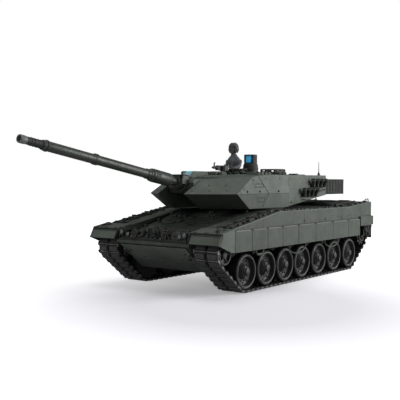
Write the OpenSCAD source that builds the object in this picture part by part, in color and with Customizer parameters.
// Tracked radio control tank at about one sixteenth scale.
// Front faces -Y, the tank's left side is +X, +Z is up, and the ground is z = 0.
// Every dimension is measured from the middle of the hull, and place() moves the
// finished piece so that the whole model is centred along Y.

/* [Hull] */
// Half the length of the hull
hull_half = 240; // [230:1:250]
// Half the width over the sponsons
sponson_half = 112; // [110:0.5:114]
// Half the width of the tub between the tracks
tub_half = 62; // [60:0.5:62]
// Underside of the tub
belly_z = 26; // [22:1:30]
// Floor of the sponsons, above the tracks
sponson_z = 80; // [79:0.5:82]
// Top of the deck around the turret
deck_z = 107.8; // [105:0.1:109]
// Top of the deck at the rear edge
rear_deck_z = 115; // [110:0.5:116]
// Where the rear deck starts to rise
rear_rise_y = 150; // [148:1:170]
// Where the glacis meets the flat deck
glacis_end_y = -77; // [-85:1:-70]
// Front edge of the glacis
nose_y = -227.4; // [-232:0.2:-222]
// Height of the front edge of the glacis
nose_z = 68.2; // [66:0.2:72]
// Height of the fender tops at the front
fender_nose_z = 83.3; // [80:0.1:86]
// Thickness of the moulded walls
wall = 3; // [2:0.5:4]

/* [Skirts and mudguards] */
// Half the width over the skirts
skirt_half = 116.4; // [116:0.2:118]
// Thickness of a skirt
skirt_t = 3; // [2:0.1:3]
// Bottom edge of the skirts
skirt_bottom_z = 58.2; // [56:0.2:62]
// Top edge of the skirts
skirt_top_z = 85.7; // [84:0.1:88]
// Front end of the skirts
skirt_front_y = -195.5; // [-198:0.5:-190]
// Rear end of the skirts
skirt_rear_y = 184.4; // [180:0.2:190]

/* [Running gear] */
// Height of the road wheel axles
wheel_z = 29.3; // [29.3:0.1:30]
// Road wheel axles from front to rear
wheel_y = [-154, -102.5, -51.5, -0.5, 52.5, 106, 162];
// Inner face of the wheels
wheel_in_x = 69.5; // [69:0.5:71]
// Width of a road wheel over both discs
wheel_w = 37; // [34:0.5:37]
// Gap between a wheel's two discs
horn_gap = 9; // [7:0.5:10]
// Swing arm pivot ahead of its wheel axle
arm_reach = 27; // [25:0.5:28]
// Swing arm pivot above its wheel axle
arm_rise = 9; // [7:0.5:10]
// Idler axle along Y
idler_y = -203; // [-206:0.5:-200]
// Idler axle height
idler_z = 56; // [54:0.5:57]
// Radius of the pin line round the idler
idler_pin_r = 17.6; // [17:0.1:18]
// Sprocket axle along Y
sprocket_y = 212; // [208:0.5:214]
// Sprocket axle height
sprocket_z = 55; // [53:0.5:56]
// Teeth on a sprocket
sprocket_teeth = 10; // [10]
// Return roller positions along Y
roller_y = [-128, -26, 79, 134];
// Return roller radius
roller_r = 6; // [5:0.1:6]

/* [Tracks] */
// Links in each track
track_links = 82; // [80:1:84]
// Inner edge of the track
track_in_x = 67.5; // [67:0.1:68]
// Width of the track
track_w = 41.2; // [38:0.2:41.2]
// Distance between pins
pitch = 11.75; // [11.7:0.01:11.8]
// Pin line to the outer face of the pads
pad_out = 2.4; // [2:0.1:3]
// Pin line to the inner face of a link
link_in = 2; // [1.5:0.1:2]

/* [Turret] */
// Height of the sharp edge around the turret armour
knife_z = 133; // [130:0.5:136]
// Half width at that edge
knife_half = 80.5; // [78:0.5:82]
// Outer front corner of the armour along Y
corner_y = -138.6; // [-142:0.2:-135]
// Sweep of the front edge in plan
sweep = 40.6; // [36:0.2:44]
// Underside of the turret
turret_z = 111.5; // [111:0.5:113]
// Top of the turret roof
roof_z = 161; // [158:0.5:164]
// Roof height at the front
roof_front_z = 152.5; // [150:0.5:155]
// Half width of the rear of the turret
bustle_half = 75; // [72:0.5:77]
// Rear wall of the turret
bustle_y = 136; // [130:1:140]
// Radius of the turret's bearing collar
ring_r = 60; // [56:0.5:60]

/* [Gun] */
// Trunnion along Y
trunnion_y = -120; // [-124:0.5:-116]
// Trunnion height
trunnion_z = 140.4; // [138:0.2:142]
// Elevation of the gun as stored
gun_elevation = 10; // [0:1:15]
// Muzzle from the trunnion
gun_reach = 331.5; // [320:0.5:340]
// Radius of the thermal sleeve
sleeve_r = 6.2; // [5.5:0.1:6.6]
// Radius of the fume extractor
extractor_r = 9.3; // [8.5:0.1:9.6]
// Half the width of the mantlet
mantlet_half = 22.5; // [20:0.5:23]

/* [Fit] */
// Radial clearance of a turning or sliding fit
fit = 0.08; // [0.02:0.01:0.1]
// Gap between moving surfaces that do not guide each other
gap = 0.4; // [0.3:0.05:0.6]

/* [Hidden] */
$fn = 48;

// Colours
olive = "#5d675e";
olive_dark = "#3c443f";
rubber = "#232524";
steel = "#8f9296";
figure_grey = "#5b6672";
lens_blue = "#3fa9d6";

// Sizes shared by several pieces
pin_r = 3;
skin = 0.01;
ring_y = 0;
far = 300;
turret_wall_z = turret_z + wall;
sprocket_pin_r = sprocket_teeth * pitch / (2 * PI);
wheel_pin_r = wheel_z - pad_out;
wheel_r = clear_radius(wheel_pin_r);
idler_r = clear_radius(idler_pin_r);
commander = [-30, 12];
loader = [30, 32];
cupola_r = 19;
lid_r = 17;
lid_t = 2.6;
hinge_out = lid_r + 5;
knuckle_r = 2;
lid_pin_r = 1.2;
commander_pin = commander - [hinge_out, 0];
cupola_h = 3;
sight_at = [-22, 50];
sight_r = 11.1;
gun_at = [-30, -17];
fan_r = 26;
slat_step = 7;

// The whole model is centred along Y between the muzzle and the rear lamps
muzzle_r = 5;
rear_lamp_t = 3;
front_reach = -trunnion_y + gun_reach * cos(gun_elevation) + muzzle_r * sin(gun_elevation);
y_shift = (front_reach - hull_half - rear_lamp_t) / 2;

// A link sits half way between its arc and its chord, so it dips inwards by this much
function link_dip(r) = (r - sqrt(r * r - pitch * pitch / 4)) / 2;
// Largest radius that turns freely inside links whose pin line has radius r
function clear_radius(r) = r - link_dip(r) - link_in - gap;

module place() { translate([0, y_shift, 0]) children(); }

// An outline drawn as [y, z] and extruded from x0 to x1
module side_slab(outline, x0, x1) {
    translate([x0, 0, 0])
        rotate([90, 0, 90])
            linear_extrude(x1 - x0) polygon(outline);
}

// A shaft along X at [y, z] from x0 to x1
module rod_x(at, r, x0, x1) {
    translate([x0, at[0], at[1]]) rotate([0, 90, 0]) cylinder(r = r, h = x1 - x0);
}

// A box given by its lowest and highest corners
module box(lo, hi) { translate(lo) cube(hi - lo); }

// The left-hand piece, or its mirror image for the right-hand side
module on_side(side) {
    if (side > 0) children();
    else mirror([1, 0, 0]) children();
}

// ---------------------------------------------------------------- hull

glacis_slope = (deck_z - nose_z) / (glacis_end_y - nose_y);
glacis_foot_y = nose_y + (sponson_z - nose_z + wall) / glacis_slope;
function glacis_z(y) = nose_z + (y - nose_y) * glacis_slope;

// Side view of the hull tub, shrunk by t all round
function tub_outline(t) = [
    [nose_y + 0.9 + 2.2 * t, nose_z - wall + 0.9 * t], [-178 + 0.8 * t, belly_z + t],
    [210 - 0.4 * t, belly_z + t], [hull_half - 2 - t, 50 + 0.4 * t],
    [hull_half - 2 - t, sponson_z], [glacis_foot_y, sponson_z]];

module lower_hull() {
    color(olive_dark) place() difference() {
        union() {
            side_slab(tub_outline(0), -tub_half, tub_half);
            for (s = [-1, 1]) on_side(s) rod_x([idler_y, idler_z], 3.5, tub_half - 1, 104);
        }
        side_slab(tub_outline(wall), -tub_half + wall, tub_half - wall);
        box([-tub_half + wall, glacis_foot_y + 2, sponson_z - 6],
            [tub_half - wall, hull_half - 2 - wall, sponson_z + 5]);
        for (y = wheel_y)
            rod_x([y - arm_reach, wheel_z + arm_rise], pin_r + fit, -tub_half - 5, tub_half + 5);
        rod_x([sprocket_y, sprocket_z], 4 + fit, -tub_half - 5, tub_half + 5);
        box([-6, -110, belly_z - 1], [6, -92, belly_z + wall + 1]);
    }
}

// Side view of the hull over the fenders and over the glacis
fender_outline = [[-223, sponson_z], [-223, fender_nose_z], [glacis_end_y, deck_z],
    [rear_rise_y, deck_z], [hull_half, rear_deck_z], [hull_half, 86], [hull_half - 2, sponson_z]];
glacis_outline = [[nose_y + 0.5, nose_z - wall], [nose_y, nose_z], [glacis_end_y, deck_z],
    [rear_rise_y, deck_z], [hull_half, rear_deck_z], [hull_half, 86], [hull_half - 2, sponson_z],
    [glacis_foot_y, sponson_z]];
roof_in = deck_z - wall;
hollow_outline = [[glacis_foot_y, sponson_z - skin], [glacis_foot_y, 70], [hull_half - 5, 70],
    [hull_half - 5, rear_deck_z - wall - 0.4], [rear_rise_y, roof_in],
    [glacis_end_y, roof_in]];
sponson_hollow = [[-203, sponson_z + wall], [glacis_end_y, roof_in], [rear_rise_y, roof_in],
    [hull_half - 5, rear_deck_z - wall - 0.4], [hull_half - 5, sponson_z + wall]];

module upper_hull() {
    color(olive) place() {
        difference() {
            union() {
                side_slab(glacis_outline, -65, 65);
                for (s = [-1, 1]) on_side(s) side_slab(fender_outline, 65, sponson_half);
            }
            side_slab(hollow_outline, -tub_half, tub_half);
            for (s = [-1, 1])
                on_side(s) side_slab(sponson_hollow, 68, sponson_half - wall);
            translate([0, ring_y, deck_z - 10]) cylinder(r = ring_r + fit, h = 20, $fn = 96);
            driver_pin(1.5 + fit);
        }
        for (s = [-1, 1]) on_side(s) {
            box([88, hull_half - skin, 88], [108, hull_half + rear_lamp_t, 100]);
            box([40, hull_half - 2, 66], [46, hull_half + 1, 74]);
        }
    }
}

module engine_deck() {
    rise = (rear_deck_z - deck_z) / (hull_half - rear_rise_y);
    function top(y) = deck_z + (y - rear_rise_y) * rise;
    color(olive_dark) place() difference() {
        side_slab([[158, top(158)], [158, top(158) + 1.6], [236, top(236) + 1.6],
            [236, top(236)]], -76, 76);
        for (x = [-36, 36]) for (k = [-3:3]) {
            half = sqrt(pow(fan_r, 2) - pow(slat_step * k, 2));
            box([x - half, 198 + slat_step * k - 1.5, deck_z],
                [x + half, 198 + slat_step * k + 1.5, rear_deck_z + 5]);
        }
    }
}

// ------------------------------------------------- skirts and mudguards

module skirt(side) {
    color(olive) place() on_side(side) {
        x0 = skirt_half - skirt_t;
        difference() {
            box([x0, skirt_front_y, skirt_bottom_z], [skirt_half, skirt_rear_y, skirt_top_z]);
            for (y = [-155.5, -115.5, -81, -31, 25, 81, 136])
                box([skirt_half - 0.6, y - 0.4, 50], [skirt_half + 1, y + 0.4, 90]);
        }
        for (y = [-175, -135, -56, 0, 56, 110, 165])
            rod_x([y, skirt_top_z - 2.4], 1.8, sponson_half, x0 + skin);
    }
}

module mudguard() {
    x0 = 65.4;
    x1 = skirt_half;
    color(olive) place() {
        side_slab([[-231.2, 69], [-223.4, 82.3], [-223.3, 80.4], [-229.5, 69]], x0, x1);
        side_slab([[-223.4, 80.3], [-223.4, 82.3], [-223.2, 83.3], [-223.1, 80.3]], x0, x1);
        side_slab([[-229, 69], [-222.4, 80.4], [-222.4, 84], [skirt_front_y - 0.6, 87.7],
            [skirt_front_y - 0.6, skirt_bottom_z], [-203, 58.8], [-226.5, 68]],
            x1 - skirt_t, x1);
        side_slab([[-223.4, 83.3 + skin], [-223.4, 84.6], [skirt_front_y - 0.6, 89.2],
            [skirt_front_y - 0.6, 88 + skin]], x0, x1);
    }
}

module mudguards() { for (s = [-1, 1]) on_side(s) mudguard(); }

// A post that stands on the glacis
module lamp_post(top_z, x0, x1) {
    side_slab([[-224, glacis_z(-224)], [-221, glacis_z(-221)], [-221, top_z], [-224, top_z]], x0, x1);
}

module headlights() {
    color(steel) place() for (s = [-1, 1]) on_side(s) {
        translate([56.4, -220, 80.1]) rotate([90, 0, 0]) cylinder(r = 4.6, h = 8);
        lamp_post(76.5, 55.2, 57.6);
        translate([46, -220, 77]) rotate([90, 0, 0]) cylinder(r = 3, h = 6);
        lamp_post(75, 45.2, 46.8);
    }
}

// ------------------------------------------------------- running gear

module swing_arm(side, i) {
    axle = [wheel_y[i - 1], wheel_z];
    pivot = axle + [-arm_reach, arm_rise];
    color(olive_dark) place() on_side(side) {
        rod_x(pivot, pin_r, tub_half - wall - 2, tub_half + gap + 0.5);
        translate([tub_half + gap, 0, 0]) rotate([90, 0, 90]) linear_extrude(4.4) hull() {
            translate(pivot) circle(r = 6, $fn = 32);
            translate(axle) circle(r = 5, $fn = 32);
        }
        rod_x(axle, pin_r, tub_half + gap + 4, wheel_in_x + wheel_w - 4);
    }
}

module road_wheel(side, i) {
    at = [wheel_y[i - 1], wheel_z];
    x1 = wheel_in_x + wheel_w;
    disc = (wheel_w - horn_gap) / 2;
    color(rubber) place() on_side(side) difference() {
        union() {
            rod_x(at, wheel_r, wheel_in_x, wheel_in_x + disc);
            rod_x(at, 13, wheel_in_x + disc - 1, x1 - disc + 1);
            rod_x(at, wheel_r, x1 - disc, x1);
        }
        rod_x(at, pin_r + fit, wheel_in_x - 1, x1 - 3.5);
        difference() {
            rod_x(at, 19.5, x1 - 4, x1 + 1);
            rod_x(at, 7, x1 - 5, x1 + 2);
        }
    }
    color(steel) place() on_side(side) {
        rod_x(at, 5.5, x1 - skin, x1 + 3);
        for (k = [0:9])
            rod_x(at + 13 * [cos(36 * k), sin(36 * k)], 1.2, x1 - 4 - skin, x1 - 2.6, $fn = 16);
    }
}

module sprocket(side) {
    at = [sprocket_y, sprocket_z];
    tip = clear_radius(sprocket_pin_r);
    color(steel) place() on_side(side) difference() {
        union() {
            rod_x(at, 4, tub_half - wall - 3, wheel_in_x);
            rod_x(at, 10.5, wheel_in_x - 1, 107);
            for (x = [71, 101]) translate([x, at[0], at[1]]) rotate([90, 0, 90])
                linear_extrude(3.6) sprocket_outline(tip);
        }
        rod_x(at, 7, 103, 108);
    }
    color(steel) place() on_side(side) rod_x(at, 4, 102, 108.6);
}

// Toothed ring: a disc with a tooth for each link
module sprocket_outline(tip) {
    root = tip - 2.6;
    half = 360 / sprocket_teeth / 2;
    polygon([for (k = [0:sprocket_teeth - 1]) for (p = [[-0.55, root], [-0.28, tip],
        [0.28, tip], [0.55, root]])
        let (a = (2 * k + p[0]) * half) p[1] * [cos(a), sin(a)]]);
}

module idler(side) {
    at = [idler_y, idler_z];
    color(rubber) place() on_side(side) difference() {
        union() {
            rod_x(at, idler_r, 70, 83.5);
            rod_x(at, 9, 83, 93);
            rod_x(at, idler_r, 92.5, 106);
        }
        rod_x(at, 3.5 + fit, 69, 104.3);
        difference() {
            rod_x(at, 12, 103, 107);
            rod_x(at, 5, 102, 108);
        }
    }
}

module return_rollers() {
    z = track_top_z - link_in - gap - roller_r;
    color(rubber) place() for (s = [-1, 1]) on_side(s) for (y = roller_y) {
        rod_x([y, z], 2.5, tub_half, 104);
        for (x = [71, 93]) rod_x([y, z], roller_r, x, x + 11);
    }
}

// ------------------------------------------------------------- tracks

// The pin line runs round four circles: idler, first wheel, last wheel and sprocket
track_top_z = idler_z + idler_pin_r;
circles = [[idler_y, idler_z, idler_pin_r], [wheel_y[0], wheel_z, wheel_pin_r],
    [wheel_y[6], wheel_z, wheel_pin_r], [sprocket_y, sprocket_z, sprocket_pin_r]];

// Direction of travel along the outer tangent from circle a to circle b
function heading(a, b) =
    let (d = [b[0] - a[0], b[1] - a[1]])
    atan2(d[1], d[0]) - asin((b[2] - a[2]) / norm(d));
function turn(a0, a1) = (a1 - a0 + 720) % 360;
headings = [for (k = [0:3]) heading(circles[k], circles[(k + 1) % 4])];
runs = [for (k = [0:3]) let (a = circles[k], b = circles[(k + 1) % 4])
    sqrt(pow(b[0] - a[0], 2) + pow(b[1] - a[1], 2) - pow(b[2] - a[2], 2))];
arcs = [for (k = [0:3]) circles[k][2] * turn(headings[(k + 3) % 4], headings[k]) * PI / 180];
loop_length = runs[0] + runs[1] + runs[2] + runs[3] + arcs[0] + arcs[1] + arcs[2] + arcs[3];

// Place and heading after travelling s from the start of the arc on circle k
function along(s, k = 0) =
    s > arcs[k] + runs[k] ? along(s - arcs[k] - runs[k], k + 1) :
    let (c = circles[k], start = headings[(k + 3) % 4],
        h = s < arcs[k] ? start + s / c[2] * 180 / PI : headings[k],
        over = max(0, s - arcs[k]))
    [c[0] + c[2] * sin(h) + over * cos(h), c[1] - c[2] * cos(h) + over * sin(h), h];

// Middle and heading of the link whose middle is s along the pin line
function link_at(s) =
    let (half = loop_length / track_links / 2, m = along(s),
        a = along(s - half), b = along((s + half) % loop_length))
    [(2 * m[0] + a[0] + b[0]) / 4, (2 * m[1] + a[1] + b[1]) / 4, atan2(b[1] - a[1], b[0] - a[0])];

// Side view of a link: flat inside, chamfered to fold, with a raised outer pad
module link_outline(length) {
    h = length / 2;
    polygon([[-h + 0.8, link_in], [-h, 0], [-h + 0.3, -pad_out + 0.7], [-h + 1.5, -pad_out],
        [h - 1.5, -pad_out], [h - 0.3, -pad_out + 0.7], [h, 0], [h - 0.8, link_in]]);
}

module track(side) {
    step = loop_length / track_links;
    color(rubber) place() on_side(side) for (k = [0:track_links - 1]) {
        p = link_at((k + 0.5) * step);
        translate([track_in_x, p[0], p[1]]) rotate([90, 0, 90]) rotate([0, 0, p[2]])
            linear_extrude(track_w) link_outline(step - gap);
    }
}

// -------------------------------------------------------- inside the hull

module drive_units() {
    color(steel) place() for (s = [-1, 1]) on_side(s) {
        side_slab([[188, 34], [213, 34], [226, 46], [226, 74], [188, 74]],
            18, tub_half - wall - 4);
        translate([38, 190, 50]) rotate([90, 0, 0]) cylinder(r = 13, h = 48);
    }
}

module battery_pack() {
    color("#2f5f9e") place() box([-36, -60, belly_z + wall + 0.2], [36, 62, belly_z + wall + 25]);
}

module control_board() {
    color("#1f6b3a") place() {
        box([-34, -40, 60], [34, 50, 61.6]);
        for (x = [-24, -4, 14]) for (y = [-28, 4, 30]) box([x, y, 61.5], [x + 12, y + 10, 66]);
        for (x = [-30, 30]) for (y = [-36, 46])
            translate([x, y, belly_z + wall + 25 - skin]) cylinder(r = 2.5, h = 7);
    }
}

module speaker() {
    color("#303236") place() translate([0, -140, belly_z + wall + 0.1]) {
        cylinder(r = 24, h = 5);
        translate([0, 0, 5 - skin]) cylinder(r = 14, h = 12);
    }
}

module power_switch() {
    color("#c0392b") place() {
        box([-4.6, -106.5, belly_z - 1.5], [4.6, -99.5, belly_z + wall + 0.8]);
        box([-8, -108.5, belly_z + wall + gap], [8, -97.5, belly_z + wall + 1.6]);
    }
}

// -------------------------------------------------------- driver's hatch

glacis_angle = atan(glacis_slope);
driver = [-38, -140];
driver_z = glacis_z(driver[1]);

// Moves children onto the glacis plane over the driver
module on_glacis() {
    translate([driver[0], driver[1], driver_z]) rotate([glacis_angle, 0, 0]) children();
}

module driver_pin(r) { on_glacis() translate([17, 0, -wall - 1]) cylinder(r = r, h = wall + 3); }

module driver_hatch() {
    color(olive) place() {
        driver_pin(1.5);
        on_glacis() {
            translate([0, 0, 0.35]) cylinder(r = 14, h = 2.6);
            box([0, -5, 0.35], [20, 5, 2.95]);
        }
    }
}

// ------------------------------------------------------------- turret

// The armour's outline across the turret, shrunk by t
module armour_section(t) {
    w = knife_half - t;
    top_z = roof_z + 1;
    polygon([[-w + 2.5, turret_z + t], [-w, knife_z], [-w + 4.5, top_z], [w - 4.5, top_z],
        [w, knife_z], [w - 2.5, turret_z + t]]);
}

// A wedge that points forwards along the swept front edge
module front_wedge(t) {
    reach = 60;
    translate([knife_half, corner_y, 0]) rotate([0, 0, 90 + sweep]) rotate([90, 0, 0])
        translate([1.7 * t, 0, -200]) linear_extrude(400)
            polygon([[0, knife_z], [reach, knife_z + 0.672 * reach], [far, knife_z + 0.672 * reach],
                [far, knife_z - 0.779 * reach], [reach, knife_z - 0.779 * reach]]);
}

module armour(t) {
    intersection() {
        side_slab([[-215, turret_z + t], [5 - t, turret_z + t], [5 - t, roof_z - t],
            [-55, roof_z - t], [-150, roof_front_z - t], [-215, roof_front_z - 5 - t]], -90, 90);
        translate([0, 10, 0]) rotate([90, 0, 0]) linear_extrude(240) armour_section(t);
        front_wedge(t);
        mirror([1, 0, 0]) front_wedge(t);
    }
}

// The rear of the turret, with its underside rising to the back wall
module bustle(t) {
    side_slab([[-40, turret_z + t], [4, turret_z + t], [bustle_y - t, 128 + t],
        [bustle_y - t, roof_z - t], [-40, roof_z - t]], -bustle_half + t, bustle_half - t);
}

module cupola(at) {
    translate([at[0], at[1], roof_z - skin]) cylinder(r = cupola_r, h = cupola_h);
}

// Two lugs and a hinge pin behind a hatch ring
module lid_hinge(at) {
    translate([at[0], at[1] + hinge_out, 0]) {
        for (x = [-9, 6]) box([x, -2, roof_z - skin], [x + 3, 2, roof_z + cupola_h + 2.5]);
        rod_x([0, roof_z + cupola_h + 1], lid_pin_r, -8, 8);
    }
}

module turret_shell() {
    color(olive) place() {
        difference() {
            union() {
                armour(0);
                bustle(0);
                cupola(commander);
                cupola(loader);
                translate([0, ring_y, deck_z - 4]) cylinder(r = ring_r, h = 5, $fn = 96);
                translate([0, ring_y, deck_z + gap]) cylinder(r = ring_r + 4, h = 5, $fn = 96);
                translate([gun_at[0], gun_at[1], roof_z - skin]) cylinder(r = 4, h = 3);
                box([-38, -52, roof_z - skin], [-20, -30, roof_z + 5.5]);
            }
            difference() {
                union() {
                    armour(wall);
                    bustle(wall);
                }
                box([-27, -far, 0], [27, -95, far]);
            }
            box([-24, -far, 90], [24, -98, far]);
            translate([0, ring_y, 90]) cylinder(r = ring_r - 6, h = turret_wall_z - 90 + 1);
            rod_x([trunnion_y, trunnion_z], 4 + fit, -30, 30);
            for (at = [commander, loader])
                translate([at[0], at[1], roof_z - 10]) cylinder(r = lid_r - 2, h = 20);
            translate([sight_at[0], sight_at[1], roof_z - 10]) cylinder(r = 8 + fit, h = 20);
            translate([gun_at[0], gun_at[1], roof_z - 10]) cylinder(r = 1.5 + fit, h = 20);
        }
        lid_hinge(loader);
        translate([commander_pin[0], commander_pin[1], roof_z - skin]) {
            cylinder(r = 2.6, h = cupola_h);
            cylinder(r = lid_pin_r, h = cupola_h + lid_t + 1);
        }
    }
}

module turret_bin() {
    color(olive_dark) place() difference() {
        box([-66, bustle_y, 128], [66, 225, 155]);
        box([-63, bustle_y + 3, 131], [63, 222, 152]);
    }
}

module smoke_launchers() {
    color(olive_dark) place() for (s = [-1, 1]) on_side(s)
        for (bank = [[52, 128], [82, 143]]) {
            translate([bustle_half, bank[0], bank[1] - 2]) cube([3, 44, 5]);
            for (k = [0:3])
                translate([bustle_half + 3, bank[0] + 4 + 12 * k, bank[1]])
                    rotate([0, 35, -60 + 12 * k]) cylinder(r = 3.4, h = 14);
        }
}

module gunner_sight() {
    function roof_at(y) = roof_front_z + (y + 150) * (roof_z - roof_front_z) / 95;
    color(olive) place() difference() {
        side_slab([[-106, roof_at(-106)], [-66, roof_at(-66)], [-66, 166.5], [-106, 166.5]],
            -47, -25);
        box([-45, -107, 158.5], [-27, -100, 164.8]);
    }
    color(lens_blue) place() box([-45, -102, 158.5], [-27, -100, 164.8]);
}

module antennas() {
    color("#202020") place() for (x = [-65, 65]) translate([x, 129, roof_z]) {
        cylinder(r = 2.2, h = 4);
        translate([0, 0, 4 - skin]) cylinder(r = 0.7, h = 19);
    }
}

module commander_figure() {
    color(figure_grey) place() translate([commander[0], commander[1], roof_z - 4]) {
        cylinder(r = lid_r - 2, h = 2);
        hull() {
            cylinder(r = 8, h = 1, $fn = 32);
            translate([0, 0, 30]) scale([1.2, 0.78, 1]) cylinder(r = 11, h = 1, $fn = 32);
            translate([0, 0, 36]) cylinder(r = 5, h = 1, $fn = 32);
        }
        for (s = [-1, 1]) hull() {
            translate([s * 11.6, 0, 29.5]) sphere(r = 3.8, $fn = 32);
            translate([s * 10, -3.5, 14]) sphere(r = 3, $fn = 32);
        }
        translate([0, 0, 36]) cylinder(r = 3.8, h = 8);
        translate([0, -1, 47.5]) sphere(r = 7.8);
        translate([0, -1, 51.5]) cylinder(r1 = 8.4, r2 = 6, h = 6.5);
    }
}

// ---------------------------------------------------------------- gun

// Moves children, drawn along -Y from the trunnion, onto the raised gun
module on_gun() {
    translate([0, trunnion_y, trunnion_z]) rotate([-gun_elevation, 0, 0]) children();
}

// A drum along the gun from s0 to s1, both measured forward of the trunnion
module drum(r, s0, s1) {
    translate([0, -s0, 0]) rotate([90, 0, 0]) cylinder(r = r, h = s1 - s0);
}

module mantlet() {
    color(olive_dark) place() on_gun() {
        difference() {
            union() {
                rod_x([0, 0], 15.5, -mantlet_half, mantlet_half);
                side_slab([[0, -13], [-38, -13], [-44, -6], [-44, 5], [0, 13]],
                    -mantlet_half, mantlet_half);
                drum(10.5, 40, 56);
            }
            drum(8 + fit, -20, 60);
        }
        for (s = [-1, 1]) on_side(s) rod_x([0, 0], 4, mantlet_half - skin, 28);
    }
}

module barrel() {
    ring = 1;
    color(olive) place() on_gun() difference() {
        union() {
            drum(8, -5, 57);
            drum(sleeve_r, 57 - skin, 71);
            drum(extractor_r, 71 - skin, 111);
            drum(sleeve_r, 111 - skin, 299);
            drum(sleeve_r + ring, 213, 217);
            drum(4.6, 299 - skin, gun_reach - 7);
            drum(muzzle_r, gun_reach - 7 - skin, gun_reach);
        }
        drum(3.6, gun_reach - 60, gun_reach + 1);
    }
}

// ------------------------------------------------------- roof fittings

module panoramic_sight() {
    color(olive_dark) place() translate([sight_at[0], sight_at[1], 0]) difference() {
        union() {
            translate([0, 0, roof_z - 6]) cylinder(r = 8, h = 8);
            translate([0, 0, roof_z + gap]) cylinder(r = sight_r + 2.2, h = 18);
            translate([0, 0, roof_z + 12]) cylinder(r = sight_r, h = 23);
        }
        box([-4.5, -12, roof_z + 24], [4.5, -8.5, roof_z + 33]);
    }
}

module machine_gun() {
    z = roof_z + 3;
    color("#2a2d2c") place() translate([gun_at[0], gun_at[1], 0]) {
        translate([0, 0, roof_z - 3]) cylinder(r = 1.5, h = 9);
        translate([0, 0, z + gap]) cylinder(r = 3.2, h = 5);
        box([-3, -19, z + 4.5], [3, 9, z + 12.5]);
        translate([0, -18.5, z + 9]) rotate([90, 0, 0]) cylinder(r = 1.7, h = 20);
        box([2.9, -9, z + 3], [11, 4, z + 12]);
        box([-1.2, -17, z + 12], [1.2, -14, z + 17]);
    }
}

// A hatch lid drawn shut over its ring, with a knuckle round the hinge pin
module lid() {
    difference() {
        union() {
            translate([0, 0, roof_z + cupola_h + 0.35]) cylinder(r = lid_r, h = lid_t);
            box([-5, lid_r - 3, roof_z + cupola_h + 0.35],
                [5, hinge_out, roof_z + cupola_h + 0.35 + lid_t]);
            rod_x([hinge_out, roof_z + cupola_h + 1], knuckle_r, -5, 5);
        }
        rod_x([hinge_out, roof_z + cupola_h + 1], lid_pin_r + fit, -6, 6);
    }
}

module loader_hatch() { color(olive) place() translate([loader[0], loader[1], 0]) lid(); }

// The commander's lid turns about an upright pin and lies open beside the figure
module commander_hatch() {
    open_angle = 105;
    color(olive) place()
        translate([commander_pin[0], commander_pin[1], roof_z + cupola_h + 0.35])
            rotate([0, 0, open_angle]) difference() {
                union() {
                    translate([hinge_out, 0, 0]) cylinder(r = lid_r, h = lid_t);
                    box([0, -4, 0], [10, 4, lid_t]);
                    cylinder(r = 4, h = lid_t);
                }
                translate([0, 0, -1]) cylinder(r = lid_pin_r + fit, h = lid_t + 2);
            }
}

lower_hull();
upper_hull();
engine_deck();
skirt(1);  // skirt_left
skirt(-1);  // skirt_right
mudguards();
track(1);  // track_left
track(-1);  // track_right
return_rollers();
headlights();
drive_units();
battery_pack();
control_board();
speaker();
power_switch();
driver_hatch();
for (i = [1:7]) {
    swing_arm(1, i);
    swing_arm(-1, i);
    road_wheel(1, i);
    road_wheel(-1, i);
}
sprocket(1);  // sprocket_left
sprocket(-1);  // sprocket_right
idler(1);  // idler_left
idler(-1);  // idler_right
turret_shell();
turret_bin();
smoke_launchers();
gunner_sight();
commander_figure();
antennas();
mantlet();
barrel();
panoramic_sight();
machine_gun();
commander_hatch();
loader_hatch();
